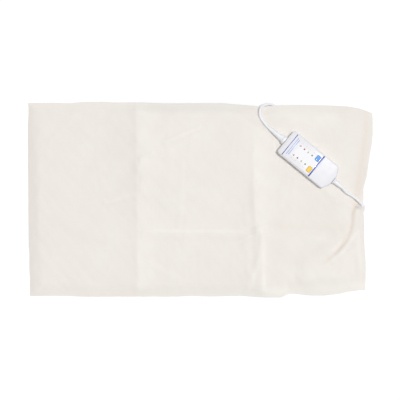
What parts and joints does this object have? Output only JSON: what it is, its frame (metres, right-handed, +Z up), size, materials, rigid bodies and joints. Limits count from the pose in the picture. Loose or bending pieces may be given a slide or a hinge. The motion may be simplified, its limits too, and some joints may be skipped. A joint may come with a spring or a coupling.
{
  "type": "heating pad with controller",
  "caption": "Flat cloth-covered electric heating pad with a hand controller lying on it, a lead into the pad and a coiled mains lead with a flat plug beneath it.",
  "frame": {"origin": "On the table, under the middle of the cover", "axes": "+X along the cover to its open end, +Y across it to the edge where the mains lead leaves, +Z up"},
  "size_m": [0.691, 0.393, 0.0339],
  "materials": {
    "cover_cloth": "soft brushed off-white cloth",
    "vinyl": "soft vinyl sheet",
    "foam": "open-cell foam",
    "carrier": "non-woven cloth",
    "wire_jacket": "insulated wire",
    "shell": "satin white moulded plastic",
    "overlay": "glossy white printed sheet",
    "key_yellow": "satin yellow",
    "key_blue": "satin blue",
    "cord": "smooth white cord jacket",
    "board": "green circuit board",
    "component": "black moulded part",
    "film": "blue capacitor case",
    "glass_fuse": "clear",
    "led_red": "clear red",
    "led_amber": "clear amber",
    "led_green": "clear green",
    "screw_steel": "zinc plated",
    "blade_brass": "bright"
  },
  "bodies": {
    "pad_and_controller": {"cover_back": "cover_cloth", "cover_front": "cover_cloth", "heater_envelope_back": "vinyl", "foam_layer": "foam", "element_carrier": "carrier", "heater_envelope_front": "vinyl", "thermal_cutout_left": "component", "thermal_cutout_right": "component", "heating_wire": "wire_jacket", "pad_lead": "cord", "mains_lead": "cord", "mains_lead_coil": "cord", "plug_body": "cord", "plug_lead": "cord", "plug_blade_live": "blade_brass", "plug_blade_neutral": "blade_brass", "lead_entry_block": "cord", "housing_bottom": "shell", "housing_top": "shell", "keypad_overlay": "overlay", "key_switch_yellow": "component", "key_switch_blue": "component", "circuit_board": "board", "fuse": "glass_fuse", "dropper_capacitor": "film", "smoothing_capacitor": "component", "microcontroller": "component", "triac": "component", "strain_relief_mains": "cord", "strain_relief_pad": "cord", "mains_conductor_live": "component", "mains_conductor_neutral": "component", "heater_conductor_1": "component", "heater_conductor_2": "component", "sensor_conductor_1": "component", "sensor_conductor_2": "component", "led_left_1": "led_red", "led_left_2": "led_red", "led_left_3": "led_amber", "led_left_4": "led_green", "led_right_1": "led_red", "led_right_2": "led_red", "led_right_3": "led_amber", "led_right_4": "led_green", "case_screw_1": "screw_steel", "case_screw_2": "screw_steel", "case_screw_3": "screw_steel", "case_screw_4": "screw_steel"},
    "yellow_key": {"key_yellow": "key_yellow", "switch_plunger_yellow": "component"},
    "blue_key": {"key_blue": "key_blue", "switch_plunger_blue": "component"}
  },
  "joints": [
    {"name": "yellow_key_press", "type": "slide", "parent": "pad_and_controller", "child": "yellow_key", "axis": [0, 0, -1], "range_m": [0, 0.0008], "stiffness_N_per_m": 1500},
    {"name": "blue_key_press", "type": "slide", "parent": "pad_and_controller", "child": "blue_key", "axis": [0, 0, -1], "range_m": [0, 0.0008], "stiffness_N_per_m": 1500}
  ]
}
